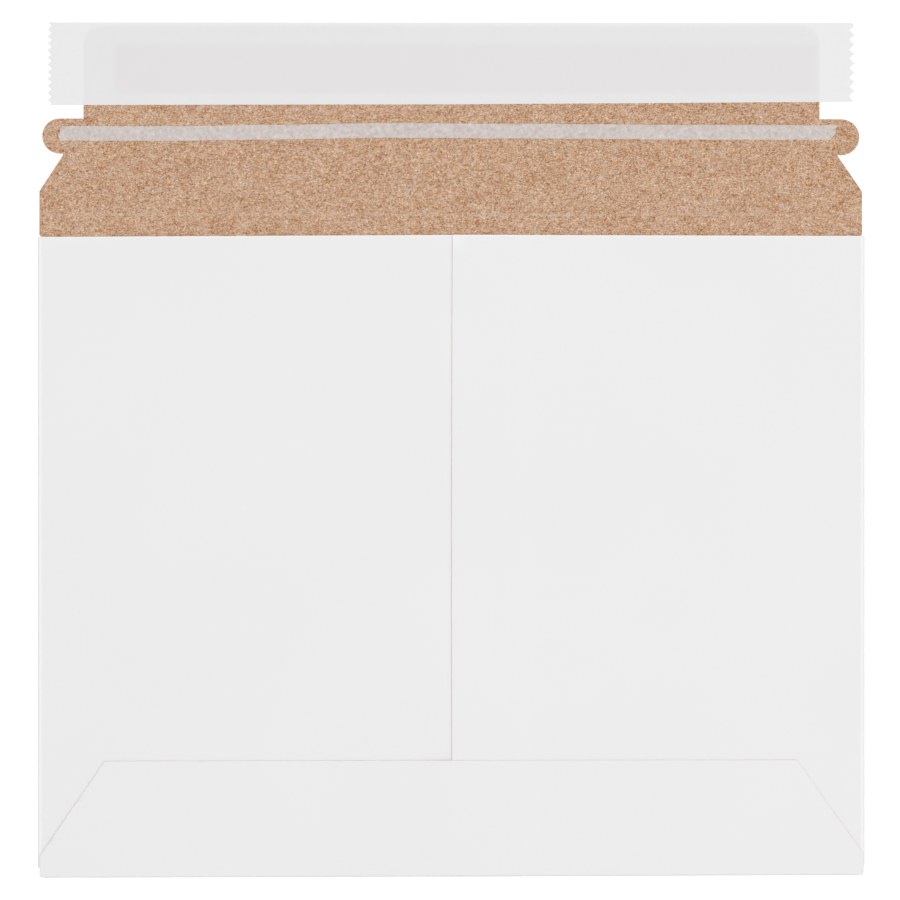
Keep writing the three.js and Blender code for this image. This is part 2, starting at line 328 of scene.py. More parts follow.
def tear_tab(radius, rise):
    """The round end of the tear line, from its underside to its top."""
    return arc(SINGLE_HALF - TAB_INSET - radius, SCORE_Y + TAB_HEIGHT + rise, radius, -90, 90)


def trimmed(points, amount):
    return [(x - amount, y) for x, y in points]


def mirrored(points):
    """The same points on the left, in reverse so that the outline still runs anticlockwise."""
    return [(-x, y) for x, y in reversed(points)]


def thinned_loop(points):
    """The loop without points that lie too close to the one before."""
    kept = []
    for point in points:
        if not kept or math.dist(point, kept[-1]) > MERGE:
            kept.append(point)
    if math.dist(kept[0], kept[-1]) <= MERGE:
        kept.pop()
    return kept


def split_loop(points, columns, rows):
    """Adds a point wherever an edge of the loop crosses a grid line."""
    made = []
    for (x0, y0), (x1, y1) in zip(points, points[1:] + points[:1]):
        cuts = [0.0]
        if abs(x1 - x0) > MERGE:
            cuts += [(c - x0) / (x1 - x0) for c in columns]
        if abs(y1 - y0) > MERGE:
            cuts += [(r - y0) / (y1 - y0) for r in rows]
        for t in sorted(t for t in cuts if 0 <= t < 1):
            made.append((x0 + t * (x1 - x0), y0 + t * (y1 - y0)))
    return thinned_loop(made)


def inset_loop(points, distance):
    """The loop moved inwards; its points run anticlockwise."""
    corners = np.array(points)
    before = unit(corners - np.roll(corners, 1, 0))
    after = unit(np.roll(corners, -1, 0) - corners)
    normals = unit(turned_left(before + after))
    spread = np.sum(normals * turned_left(before), 1)
    return corners + normals * (distance / np.maximum(spread, SHARPEST_CORNER))[:, None]


def unit(vectors):
    return vectors / np.linalg.norm(vectors, axis=1)[:, None]


def turned_left(vectors):
    return np.stack([-vectors[:, 1], vectors[:, 0]], 1)


def distance_to_loop(points, loop):
    """Signed distance of each point to the loop, positive inside."""
    starts = np.array(loop)
    nearest = np.full(len(points), np.inf)
    crossings = np.zeros(len(points), int)
    for (x0, y0), (x1, y1) in zip(starts, np.roll(starts, -1, 0)):
        side = np.array([x1 - x0, y1 - y0])
        offset = points - (x0, y0)
        along = np.clip(offset @ side / (side @ side), 0, 1)
        nearest = np.minimum(nearest, np.hypot(*(offset - along[:, None] * side).T))
        level = (y0 > points[:, 1]) != (y1 > points[:, 1])
        if level.any():
            cross = x0 + (points[:, 1] - y0) / (y1 - y0) * (x1 - x0)
            crossings += level & (points[:, 0] < cross)
    return np.where(crossings % 2 == 1, nearest, -nearest)


def triangulate(outline, columns, rows):
    """Triangles of a flat sheet: grid points inside, and a rim that follows the outline."""
    loop = split_loop(thinned_loop(outline), columns, rows)
    ring = inset_loop(loop, RIM_INSET)
    flat_ring = inset_loop(loop, FLAT_INSET)
    flat_ring = flat_ring[distance_to_loop(flat_ring, loop) > (RIM_INSET + FLAT_INSET) / 2]
    grid = np.array([(c, r) for c in columns for r in rows])
    grid = grid[distance_to_loop(grid, loop) > FLAT_INSET + GRID_CLEARANCE]
    flat = np.concatenate([np.array(loop), ring, flat_ring, grid])
    count = len(loop)
    edges = [(i, (i + 1) % count) for i in range(count)]
    edges += [(count + i, count + (i + 1) % count) for i in range(count)]
    result = geometry.delaunay_2d_cdt([Vector(p) for p in flat], edges, [], 1, WELD)
    points = np.array([tuple(v) for v in result[0]])
    triangles = np.array([f for f in result[2] if len(f) == 3])
    a, b, c = (points[triangles[:, i]] for i in range(3))
    area = np.cross(b - a, c - a)
    triangles[area < 0] = triangles[area < 0][:, ::-1]
    return points, triangles[np.abs(area) > SMALLEST_AREA]


# Folding

def panel_rise(x):
    """How far the right side panel is raised where it climbs over the left one."""
    return (OVERLAP_BASE - PANEL_BASE) * smooth((RAMP_END - x) / (RAMP_END - OVERLAP_END))


def bottom_flap_base(x):
    """Height of the bottom flap's underside, which climbs over the seam."""
    rise = smooth((x - SEAM_X + BOTTOM_FLAP_RAMP) / BOTTOM_FLAP_RAMP)
    fall = smooth((RAMP_END - x) / (RAMP_END - OVERLAP_END))
    return FLAP_ON_PANEL + (FLAP_ON_SEAM - FLAP_ON_PANEL) * np.minimum(rise, fall)


def bottom_flap_lift(x, s):
    """How far the flap stands off the panels, s up from its fold: most near the slants' feet."""
    side = np.clip((np.abs(x) - LIFT_START) / (LIFT_END - LIFT_START), 0, 1) ** 2
    fade = LIFT_FADE * smooth((s - LIFT_FADE_START) / LIFT_FADE_LENGTH)
    along = smooth(s / LIFT_RISE) * (1 - fade)
    return np.where(x < 0, LEFT_LIFT, RIGHT_LIFT) * side * along


def fold_profile(turn, squareness):
    """A pressed fold: a half circle drawn towards a square, as how far out and up it is."""
    out = np.sin(turn) ** squareness
    up = -np.sign(np.cos(turn)) * np.abs(np.cos(turn)) ** squareness
    return out, up


def bottom_tilt(x, y):
    """How far the lower end of the pack is drawn up, towards the right."""
    across = np.clip((x + HALF_WIDTH) / (2 * HALF_WIDTH), 0, 1) ** TILT_BEND
    down = np.clip(1 - (y - FOLD_Y) / BOTTOM_FLAP_HEIGHT, 0, 1) ** 2
    return BOTTOM_TILT * across * down


def fold_zones(u, v):
    """Which points of the flat sheet turn with a side panel, and which with the bottom flap."""
    level = (v > PANEL_FOOT_Y - MERGE) & (v < MOUTH_Y + NOTCH_STEP - MERGE)
    side = (np.abs(u) > FOLD_X) & level
    bottom = v < PANEL_FOOT_Y - MERGE
    return side, bottom


def fold_blank(u, v, zones):
    """Middle surface of the folded sheet at each point of the flat one."""
    side, bottom = zones
    side_x, side_z = fold_side(u)
    bottom_y, bottom_z = fold_bottom(u, v)
    x = np.where(side, side_x, u)
    y = np.where(bottom, bottom_y, v)
    z = np.where(bottom, bottom_z, np.where(side, side_z, BOARD / 2))
    return np.stack([x, y + bottom_tilt(x, y), z], 1)


def fold_side(u):
    """Place across and height of points that turn with a side panel."""
    hand = np.sign(u)
    past = np.abs(u) - FOLD_X
    middle = FOLD_RADIUS - BOARD / 2
    turn = np.clip(past / SIDE_ARC, 0, 1) * math.pi
    out, up = fold_profile(turn, SIDE_SQUARENESS)
    arc_x = hand * (FOLD_X + middle * out)
    panel_x = hand * (FOLD_X - (past - SIDE_ARC))
    rise = np.where((hand > 0) & (past > SIDE_ARC), panel_rise(panel_x), 0)
    return np.where(past < SIDE_ARC, arc_x, panel_x), FOLD_RADIUS + middle * up + rise


def fold_bottom(u, v):
    """Place along the pack and height of points that turn with the bottom flap."""
    radius = (bottom_flap_base(u) + BOARD) / 2
    middle = radius - BOARD / 2
    past = BOTTOM_FLAT_Y - v
    turn = np.clip(past / BOTTOM_ARC, 0, 1) * math.pi
    out, up = fold_profile(turn, BOTTOM_SQUARENESS)
    reach = np.maximum(past - BOTTOM_ARC, 0)
    stretch = (BOTTOM_FLAP_HEIGHT - radius) / (BOTTOM_FLAP_HEIGHT - BOTTOM_RADIUS)
    strip = np.clip(1 + past / (PANEL_FOOT_Y - BOTTOM_FLAT_Y), 0, 1)
    flat_y = v + (radius - BOTTOM_RADIUS) * strip
    turned_y = FOLD_Y + radius - middle * out + reach * stretch
    height = radius + middle * up + bottom_flap_lift(u, reach) * (past > BOTTOM_ARC)
    return np.where(past < 0, flat_y, turned_y), height


def surface_normals(place, u, v):
    across = place(u + SLOPE_STEP, v) - place(u - SLOPE_STEP, v)
    along = place(u, v + SLOPE_STEP) - place(u, v - SLOPE_STEP)
    return unit(np.cross(across, along))


def rim_edges(triangles):
    """The edges that only one triangle has."""
    edges = np.concatenate([triangles[:, [0, 1]], triangles[:, [1, 2]], triangles[:, [2, 0]]])
    forward = {tuple(e) for e in edges.tolist()}
    return [e for e in forward if (e[1], e[0]) not in forward]


def sheet_mesh(name, points, triangles, place, thickness, rim_drop, slots):
    """A closed sheet: an inner face, an outer face and the cut edge between them.

    place gives the middle of the sheet's thickness at flat points; slots holds the three materials.
    """
    u, v = points[:, 0], points[:, 1]
    middle = place(u, v)
    normals = surface_normals(place, u, v)
    rim = rim_edges(triangles)
    drop = np.zeros(len(points))
    drop[[e[0] for e in rim]] = rim_drop
    half = (thickness / 2 - drop)[:, None]
    count = len(points)
    vertices = np.concatenate([middle + normals * half, middle - normals * half]) * MM
    faces = triangles.tolist() + (triangles[:, ::-1] + count).tolist()
    faces += [(a, a + count, b + count, b) for a, b in rim]
    mesh = bpy.data.meshes.new(name)
    mesh.from_pydata(vertices.tolist(), [], faces)
    for material in slots:
        mesh.materials.append(material)
    kinds = [0] * len(triangles) + [1] * len(triangles) + [2] * len(rim)
    mesh.polygons.foreach_set("material_index", kinds)
    mesh.polygons.foreach_set("use_smooth", [True] * len(faces))
    mesh.update()
    mesh.set_sharp_from_angle(angle=math.radians(SHARP_ANGLE))
    piece = bpy.data.objects.new(name, mesh)
    bpy.context.scene.collection.objects.link(piece)
    return piece


def blank_columns():
    columns = steps(-FOLD_X, FOLD_X, PANEL_STEP)
    columns += steps(SEAM_X - BOTTOM_FLAP_RAMP, SEAM_X, RAMP_STEP)
    columns += steps(OVERLAP_END, RAMP_END, RAMP_STEP)
    for hand in (-1, 1):
        columns += [hand * u for u in np.linspace(FOLD_X, PANEL_U, FOLD_STEPS + 1)]
        columns += [hand * (PANEL_U + HIGHLIGHT_WIDTH * k) for k in (1, 2)]
    columns += steps(PANEL_U, MIDDLE_U - RAMP_END, PANEL_STEP)
    columns += steps(MIDDLE_U - RAMP_END, MIDDLE_U - OVERLAP_END, RAMP_STEP)
    columns += steps(MIDDLE_U - OVERLAP_END, SEAM_U, PANEL_STEP)
    columns += steps(-MIDDLE_U - HIDDEN_EDGE_X, -PANEL_U, PANEL_STEP)
    return merged(columns)


def blank_rows():
    rows = steps(BOTTOM_EDGE_V, TURNED_V - BOTTOM_HIGHLIGHT_WIDTH, PANEL_STEP)
    rows += list(np.linspace(TURNED_V, BOTTOM_FLAT_Y, FOLD_STEPS + 1))
    rows += [PANEL_FOOT_Y]
    rows += steps(PANEL_FOOT_Y, MOUTH_Y - 2 * MOUTH_HIGHLIGHT_WIDTH, PANEL_STEP)
    rows += [MOUTH_Y - MOUTH_HIGHLIGHT_WIDTH]
    rows += steps(MOUTH_Y, SCORE_Y - HALF_SCORE, PANEL_STEP / 2)
    rows += list(np.linspace(SCORE_Y - HALF_SCORE, SCORE_Y + HALF_SCORE, SCORE_STEPS + 1))
    rows += steps(SCORE_Y + HALF_SCORE, FLAP_TOP, PANEL_STEP)
    return merged(rows)


def make_blank(slots):
    """The whole blank as one sheet, with masks for its pressed score and its painted highlight."""
    points, triangles = triangulate(blank_outline(), blank_columns(), blank_rows())
    zones = fold_zones(points[:, 0], points[:, 1])

    def place(u, v):
        return fold_blank(u, v, zones)

    piece = sheet_mesh("folded_board", points, triangles, place, BOARD, RIM_DROP, slots)
    score = smooth(2 - 2 * np.abs(points[:, 1] - SCORE_Y) / (HALF_SCORE + MERGE))
    plain = np.zeros(len(points))
    add_mask(piece, "score", np.concatenate([score, plain]))
    # The outer face gets a painted highlight along its folds and at the mouth
    add_mask(piece, "painted_highlight", np.concatenate([plain, painted_highlight_mask(points, zones)]))
    shift_inner_face(piece, 2, -score * SCORE_DEPTH)
    seam_rim = points[:, 0] > SEAM_U - 2 * SEAM_BEVEL - FLAT_INSET
    shift_inner_face(piece, 0, np.where(seam_rim, -SEAM_BEVEL, 0))
    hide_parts("mailer_body", "closure_flap")
    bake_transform(piece)


def painted_highlight_mask(points, zones):
    """Painted highlight: how much lighter the outer face is painted along the folds and the mouth."""
    side, bottom = zones
    past = np.abs(points[:, 0]) - FOLD_X - SIDE_ARC
    side_fold = np.exp(-(past / np.where(past > 0, HIGHLIGHT_WIDTH, FOLD_HIGHLIGHT_WIDTH)) ** 2)
    past = BOTTOM_FLAT_Y - points[:, 1] - BOTTOM_ARC * BOTTOM_HIGHLIGHT_PLACE
    bottom_fold = np.exp(-(past / BOTTOM_HIGHLIGHT_WIDTH) ** 2)
    depth = distance_to_loop(points, thinned_loop(blank_outline()))
    near_mouth = np.abs(points[:, 1] - MOUTH_Y) < MOUTH_HIGHLIGHT_REACH
    mouth = np.where(near_mouth, np.exp(-(depth / MOUTH_HIGHLIGHT_WIDTH) ** 2), 0)
    return np.where(side, np.maximum(side_fold, mouth), np.where(bottom, bottom_fold, 0))


def add_mask(piece, name, values):
    attribute = piece.data.attributes.new(name, "FLOAT", "POINT")
    attribute.data.foreach_set("value", np.asarray(values, np.float32))


def shift_inner_face(piece, axis, distances):
    """Moves the inner face's points along an axis, each by its own distance."""
    mesh = piece.data
    places = np.zeros(len(mesh.vertices) * 3)
    mesh.vertices.foreach_get("co", places)
    places = places.reshape(-1, 3)
    places[:len(distances), axis] += distances * MM
    mesh.vertices.foreach_set("co", places.ravel())
    mesh.update()


# Tape and liner

# The tape's middle line, as how high above the score it runs at places across the flap, and its torn
# ends, as how far they reach at shares of the tape's width
TAPE_WIDTH = 5.15
TAPE_PATH = ((-140, 28.75), (-98, 28.67), (-62, 29.15), (-22, 29.75), (30, 29.45), (90, 29.08),
             (140, 28.95))
TAPE_LEFT_END = ((0.0, 0.1), (0.15, -0.3), (0.33, -0.58), (0.6, 0.0), (0.8, 0.35), (1.0, 0.62))
TAPE_RIGHT_END = ((0.0, -1.9), (0.15, -1.5), (0.38, -0.25), (0.57, 0.28), (0.73, -0.7), (0.88, 0.3),
                  (1.0, 1.13))
TAPE_LEFT_X = -138.2
TAPE_RIGHT_X = 135.8
TAPE_STEP = 3.0
TAPE_ROW_STEP = 1.2
TAPE_WAVE = 0.05
TAPE_SEED = 11

# The liner's two pinked ends, with no tooth nearer to a corner than a margin, and how it lies: it
# droops past the flap's sides and ripples a little. A ripple has a share, and lengths across and along
LINER_WIDTH_LEFT = 29.2
LINER_WIDTH_RIGHT = 28.05
LEFT_TOOTH_PITCH = 2.49
LEFT_TOOTH_DEPTH = 1.45
RIGHT_TOOTH_PITCH = 3.31
RIGHT_TOOTH_DEPTH = 1.83
RIGHT_FIRST_TIP = 0.95
TOOTH_MARGIN = 0.3
LINER_STEP = 6.0
LINER_DROOP = 0.3
LINER_RIPPLE = 0.035
SHORT_RIPPLE = (0.6, 9.0, 14.0)
LONG_RIPPLE = (0.4, 23.0, -7.0)
LINER_JITTER = 0.12
LINER_TOP_SLOPE = 0.2
LINER_FOOT_SAG = 0.33
LINER_SEED = 5

# Thin strips have their rims pressed by this share of their thickness
STRIP_RIM = 0.25


def tape_height(x):
    """Height along the pack of the tape's middle line at x."""
    for (x0, rise0), (x1, rise1) in zip(TAPE_PATH, TAPE_PATH[1:]):
        if x <= x1:
            break
    return SCORE_Y + rise0 + (rise1 - rise0) * float(smooth((x - x0) / (x1 - x0)))


def torn_end(x, shape):
    foot = tape_height(x) - TAPE_WIDTH / 2
    return [(x + reach, foot + share * TAPE_WIDTH) for share, reach in shape]


def tape_outline(xs):
    draw = random.Random(TAPE_SEED)
    half = TAPE_WIDTH / 2
    low = [(x, tape_height(x) - half + draw.uniform(-1, 1) * TAPE_WAVE) for x in xs]
    high = [(x, tape_height(x) + half + draw.uniform(-1, 1) * TAPE_WAVE) for x in xs]
    right = torn_end(TAPE_RIGHT_X, TAPE_RIGHT_END)
    left = torn_end(TAPE_LEFT_X, TAPE_LEFT_END)
    return low[1:-1] + right + high[-2:0:-1] + left[::-1]


def make_tape(slots):
    columns = steps(TAPE_LEFT_X, TAPE_RIGHT_X, TAPE_STEP)
    rows = steps(tape_low.y, tape_high.y, TAPE_ROW_STEP)
    points, triangles = triangulate(tape_outline(columns), columns, rows)
    thickness = tape_high.z - tape_low.z
    middle = (tape_high.z + tape_low.z) / 2

    def place(u, v):
        return np.stack([u, v, np.full_like(u, middle)], 1)

    piece = sheet_mesh("tape_strip", points, triangles, place, thickness, thickness * STRIP_RIM, slots)
    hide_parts("tear_tape")
    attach(piece, "flap")


def pinked_edge(x, hand, pitch, depth, tip, start, end, draw):
    """A zigzag edge running up from start to end, with one of its tips at the given height."""
    half = pitch / 2
    first = math.ceil((start - tip) / half + TOOTH_MARGIN)
    last = math.floor((end - tip) / half - TOOTH_MARGIN)
    heights = [start] + [tip + k * half for k in range(first, last + 1)] + [end]
    made = []
    for y in heights:
        phase = abs((y - tip) / pitch - round((y - tip) / pitch)) * 2
        wander = draw.uniform(0, 1) * LINER_JITTER
        inner = y not in (start, end)
        rise = inner * draw.uniform(-1, 1) * LINER_JITTER
        made.append((x - hand * (depth * phase + wander), y + rise))
    return made


def liner_outline(left_foot, right_foot):
    draw = random.Random(LINER_SEED)
    top = liner_high.y
    right_top = top - LINER_TOP_SLOPE
    right_tip = right_top - RIGHT_FIRST_TIP
    right_edge = pinked_edge(liner_high.x, 1, RIGHT_TOOTH_PITCH, RIGHT_TOOTH_DEPTH, right_tip,
                             right_foot, right_top, draw)
    left_edge = pinked_edge(liner_low.x, -1, LEFT_TOOTH_PITCH, LEFT_TOOTH_DEPTH, top,
                            left_foot, top, draw)
    middle_foot = (left_foot + right_foot) / 2 - LINER_FOOT_SAG
    return [(0, middle_foot)] + right_edge + left_edge[::-1]


def ripple(u, v, shape):
    """A slight wave in the liner."""
    share, across, along = shape
    return share * np.sin(u / across + v / along)


def make_liner(slots):
    left_foot = liner_high.y - LINER_WIDTH_LEFT
    right_foot = liner_high.y - LINER_WIDTH_RIGHT
    columns = steps(liner_low.x, liner_high.x, LINER_STEP)
    rows = steps(left_foot, liner_high.y, LINER_STEP)
    points, triangles = triangulate(liner_outline(left_foot, right_foot), columns, rows)
    thickness = liner_high.z - liner_low.z
    middle = (liner_high.z + liner_low.z) / 2
    flap_half = SINGLE_HALF - UPPER_INSET

    def place(u, v):
        overhang = np.clip((np.abs(u - FLAP_X) - flap_half) / (liner_high.x - flap_half), 0, 1)
        waves = ripple(u, v, SHORT_RIPPLE) + ripple(u, v, LONG_RIPPLE)
        height = middle + LINER_RIPPLE + LINER_RIPPLE * waves - LINER_DROOP * overhang ** 2
        return np.stack([u, v, height], 1)

    piece = sheet_mesh("liner_strip", points, triangles, place, thickness, thickness * STRIP_RIM, slots)
    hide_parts("release_liner")
    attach(piece, "flap")


# Materials

# Colours, as red, green and blue from 0 to 255
WHITE_DARK = (236, 235.6, 236)
WHITE_LIGHT = (238, 237, 237.2)
# The colour of the highlight painted along the folds and at the mouth
PAINTED_HIGHLIGHT_WHITE = (247, 247, 247)
KRAFT_COLOURS = (
    (0.0, (151, 92, 44)),
    (0.28, (179.7, 133.3, 94.8)),
    (0.5, (199.7, 162.8, 134.2)),
    (0.72, (213.7, 184.8, 162.2)),
    (1.0, (230, 214, 199)),
)
KRAFT_SCORED = (214, 192, 174)
KRAFT_WETTED = (120, 92, 70)
EDGE_COLOURS = ((0.3, (184, 175, 167)), (0.7, (215, 210, 205)))
TAPE_COLOURS = ((0.3, (189, 175, 169)), (0.5, (206, 196.3, 192.3)), (0.7, (221, 215, 213)))
GLUE_COLOURS = ((0.3, (222, 212, 184)), (0.7, (236, 228, 204)))
LINER_COLOURS = ((0.35, (234, 233.8, 234)), (0.65, (236.2, 236, 236.2)))
LINER_BONDED = (230.6, 227.2, 228.8)

# How much of the white face's relief is fine
FINE_GRAIN = 0.6

# How far the marks on the sheets show; the first is the painted highlight along the folds and mouth
PAINTED_HIGHLIGHT_SHARE = 0.8
SCORED_SHARE = 0.22
WETTED_SHARE = 0.55
BONDED_SHARE = 0.6

# The kraft's fibres: how wide the dark and light strands are, how much they and the fine and broad
# mottling change the tone, and where the strands break off
DARK_WIDTH = 0.06
LIGHT_WIDTH = 0.055
DARK_SHARE = 0.32
LIGHT_SHARE = 0.22
FINE_SHARE = 2.0
BLOTCH_SHARE = 0.22
STRAND_SHIFT = (37, 19, 0)
DARK_BREAK = 0.36
LIGHT_BREAK = 0.62
BREAK_SLOPE = 4.5

# How the kraft's red, green and blue drift as its pulp turns from grey to orange
WARMTH = (0.27, -0.08, -0.7)
WARMTH_SCALE = 0.55

# How much of what lies below shows through the liner, and how soft the adhesive's outline is in it
LINER_SHOW_THROUGH = 0.05
BOND_BLUR = 2.5


class Nodes:
    """The nodes of a material or world, and short calls that add and join them."""

    def __init__(self, owner, output="ShaderNodeOutputMaterial"):
        self.owner = owner
        owner.use_nodes = True
        self.tree = owner.node_tree
        self.tree.nodes.clear()
        self.output = self.add(output)

    def add(self, kind, inputs=None, **settings):
        node = self.tree.nodes.new(kind)
        for key, value in settings.items():
            setattr(node, key, value)
        for key, value in (inputs or {}).items():
            self.put(node.inputs[key], value)
        return node

    def put(self, socket, value):
        if isinstance(value, bpy.types.NodeSocket):
            self.tree.links.new(value, socket)
        else:
            socket.default_value = value

    def math(self, operation, a, b=0.0, clamp=False):
        return self.add("ShaderNodeMath", {0: a, 1: b}, operation=operation, use_clamp=clamp).outputs[0]

    def vector_math(self, operation, a, b):
        return self.add("ShaderNodeVectorMath", {0: a, 1: b}, operation=operation).outputs[0]

    def scaled_sum(self, value, *terms):
        """The value plus each term times its share."""
        for term, share in terms:
            value = self.math("ADD", value, self.math("MULTIPLY", term, share))
        return value

    def place(self, stretch=(1, 1, 1)):
        """Object position in millimetres, stretched."""
        source = self.add("ShaderNodeTexCoord").outputs["Object"]
        return self.vector_math("MULTIPLY", source, tuple(s / MM for s in stretch))

    def noise(self, vector, scale, detail=2.0, roughness=0.5, output="Fac", distortion=0.0):
        inputs = {"Vector": vector, "Scale": scale, "Detail": detail, "Roughness": roughness,
                  "Distortion": distortion}
        return self.add("ShaderNodeTexNoise", inputs).outputs[output]

    def warp(self, vector, scale, amount):
        """The position pushed about by a noise, so that straight fibres curl."""
        colour = self.noise(vector, scale, output="Color")
        centred = self.vector_math("SUBTRACT", colour, (0.5, 0.5, 0.5))
        pushed = self.vector_math("MULTIPLY", centred, (amount, amount, amount))
        return self.vector_math("ADD", vector, pushed)

    def centred(self, value):
        """A noise value moved from about a half to about 0."""
        return self.math("SUBTRACT", value, 0.5)

    def mean(self, a, b):
        return self.math("MULTIPLY", self.math("ADD", a, b), 0.5)

    def strands(self, vector, scale, width):
        """Thin curling lines, 1 along a line and 0 off it."""
        away = self.math("ABSOLUTE", self.centred(self.noise(vector, scale, detail=1.0)))
        return self.math("SUBTRACT", 1.0, self.math("DIVIDE", away, width, clamp=True))

    def ramp(self, value, stops):
        node = self.add("ShaderNodeValToRGB", {"Fac": value})
        elements = node.color_ramp.elements
        while len(elements) < len(stops):
            elements.new(0.5)
        for element, (position, colour) in zip(elements, stops):
            element.position = position
            element.color = rgba(colour)
        return node.outputs["Color"]

    def mix(self, share, a, b):
        node = self.add("ShaderNodeMix", data_type="RGBA")
        self.put(node.inputs["Factor"], share)
        self.put(node.inputs["A"], a)
        self.put(node.inputs["B"], b)
        return node.outputs["Result"]

    def bump(self, height, strength, distance):
        inputs = {"Height": height, "Strength": strength, "Distance": distance}
        return self.add("ShaderNodeBump", inputs).outputs[0]

    def mask(self, name):
        return self.add("ShaderNodeAttribute", attribute_name=name).outputs["Fac"]

    def principled(self, **inputs):
        named = {key.replace("_", " "): value for key, value in inputs.items()}
        return self.add("ShaderNodeBsdfPrincipled", named).outputs[0]

    def diffuse(self, level):
        """A plain grey of the given brightness."""
        colour = (level, level, level, 1)
        return self.add("ShaderNodeBsdfDiffuse", {"Color": colour}).outputs[0]

    def mix_shaders(self, share, a, b):
        return self.add("ShaderNodeMixShader", {"Fac": share, 1: a, 2: b}).outputs[0]

    def finish(self, shader):
        self.put(self.output.inputs["Surface"], shader)
        return self.owner


def material_nodes(name):
    return Nodes(bpy.data.materials.new(name))


def rgba(colour):
    """A colour of 0 to 255 a channel as the linear one that shader sockets take."""
    def channel(value):
        share = value / 255
        return share / 12.92 if share <= 0.04045 else ((share + 0.055) / 1.055) ** 2.4
    return (*(channel(value) for value in colour), 1)


def white_board():
    n = material_nodes("white_coated_board")
    where = n.place()
    cloud = n.noise(where, scale=0.012)
    tone = n.ramp(cloud, ((0.3, WHITE_DARK), (0.7, WHITE_LIGHT)))
    # Painted highlight: the face is painted lighter along the folds and at the mouth
    highlight = n.math("MULTIPLY", n.mask("painted_highlight"), PAINTED_HIGHLIGHT_SHARE)
    colour = n.mix(highlight, tone, rgba(PAINTED_HIGHLIGHT_WHITE))
    fine = n.noise(where, scale=1.6, detail=3.0, roughness=0.6)
    grain = n.scaled_sum(n.noise(where, scale=0.25), (fine, FINE_GRAIN))
    bump = n.bump(grain, strength=0.12, distance=0.02 * MM)
    shader = n.principled(Base_Color=colour, Roughness=0.5, Normal=bump, Specular_IOR_Level=0.35)
    return n.finish(shader)


def kraft_nodes(n):
    """Colour and height of the uncoated brown face: short curling fibres, dark and light."""
    where = n.place((0.82, 1.1, 1))
    curled = n.warp(where, scale=0.55, amount=1.6)
    shifted = n.vector_math("ADD", curled, STRAND_SHIFT)
    dark = n.strands(curled, scale=0.95, width=DARK_WIDTH)
    light = n.strands(shifted, scale=1.05, width=LIGHT_WIDTH)
    broken = n.noise(where, scale=0.45, detail=1.0)
    above = n.math("SUBTRACT", broken, DARK_BREAK)
    below = n.math("SUBTRACT", LIGHT_BREAK, broken)
    dark = n.math("MULTIPLY", dark, n.math("MULTIPLY", above, BREAK_SLOPE, clamp=True))
    light = n.math("MULTIPLY", light, n.math("MULTIPLY", below, BREAK_SLOPE, clamp=True))
    fine = n.noise(where, scale=2.2, detail=1.0, roughness=0.6, distortion=1.1)
    blotch = n.noise(where, scale=0.09, detail=3.0, roughness=0.6)
    mottling = ((n.centred(fine), FINE_SHARE), (n.centred(blotch), BLOTCH_SHARE))
    tone = n.scaled_sum(0.5, *mottling, (dark, -DARK_SHARE), (light, LIGHT_SHARE))
    return warmed(n, n.ramp(tone, KRAFT_COLOURS), where), tone


def warmed(n, colour, where):
    """The colour drifting a little between orange and grey, as pulp does."""
    drift = n.centred(n.noise(where, scale=WARMTH_SCALE, detail=3.0, roughness=0.75))
    tint = n.vector_math("ADD", n.vector_math("MULTIPLY", drift, WARMTH), (1, 1, 1))
    return n.vector_math("MULTIPLY", colour, tint)


def brown_board():
    n = material_nodes("brown_board_inside")
    kraft, height = kraft_nodes(n)
    scored = n.math("MULTIPLY", n.mask("score"), SCORED_SHARE)
    colour = n.mix(scored, kraft, rgba(KRAFT_SCORED))
    bump = n.bump(height, strength=0.5, distance=0.08 * MM)
    shader = n.principled(Base_Color=colour, Roughness=0.88, Normal=bump, Specular_IOR_Level=0.25)
    return n.finish(shader)


def cut_edge():
    n = material_nodes("board_cut_edge")
    layers = n.noise(n.place((0.5, 0.5, 7)), scale=1.2, detail=3.0, roughness=0.6)
    bump = n.bump(layers, strength=0.6, distance=0.06 * MM)
    shader = n.principled(Base_Color=n.ramp(layers, EDGE_COLOURS), Roughness=0.9, Normal=bump)
    return n.finish(shader)


def tape_film():
    n = material_nodes("tear_tape_film")
    blotch = n.noise(n.place((1.1, 1.1, 1)), scale=0.8, detail=3.0, roughness=0.6)
    speck = n.noise(n.place(), scale=0.75, detail=2.0, roughness=0.6)
    tone = n.mean(blotch, speck)
    bump = n.bump(tone, strength=0.25, distance=0.05 * MM)
    shader = n.principled(Base_Color=n.ramp(tone, TAPE_COLOURS), Roughness=0.5, Normal=bump,
                          Specular_IOR_Level=0.4)
    return n.finish(shader)


def adhesive_film():
    n = material_nodes("adhesive_film")
    kraft, height = kraft_nodes(n)
    colour = n.mix(WETTED_SHARE, kraft, rgba(KRAFT_WETTED))
    bump = n.bump(height, strength=0.15, distance=0.04 * MM)
    return n.finish(n.principled(Base_Color=colour, Roughness=0.2, Normal=bump))


def dried_glue():
    n = material_nodes("dried_glue")
    tone = n.noise(n.place(), scale=0.3, detail=3.0)
    bump = n.bump(tone, strength=0.3, distance=0.05 * MM)
    shader = n.principled(Base_Color=n.ramp(tone, GLUE_COLOURS), Roughness=0.35, Normal=bump)
    return n.finish(shader)


def bonded_area(n, where):
    """1 where the liner lies on the adhesive and 0 around it."""
    parts = n.add("ShaderNodeSeparateXYZ", {"Vector": where}).outputs
    inside = 1.0
    for axis, low, high in (("X", glue_low.x, glue_high.x), ("Y", glue_low.y, glue_high.y)):
        away = n.math("ABSOLUTE", n.math("SUBTRACT", parts[axis], (low + high) / 2))
        depth = n.math("SUBTRACT", (high - low) / 2 + BOND_BLUR / 2, away)
        inside = n.math("MULTIPLY", inside, n.math("DIVIDE", depth, BOND_BLUR, clamp=True))
    return inside


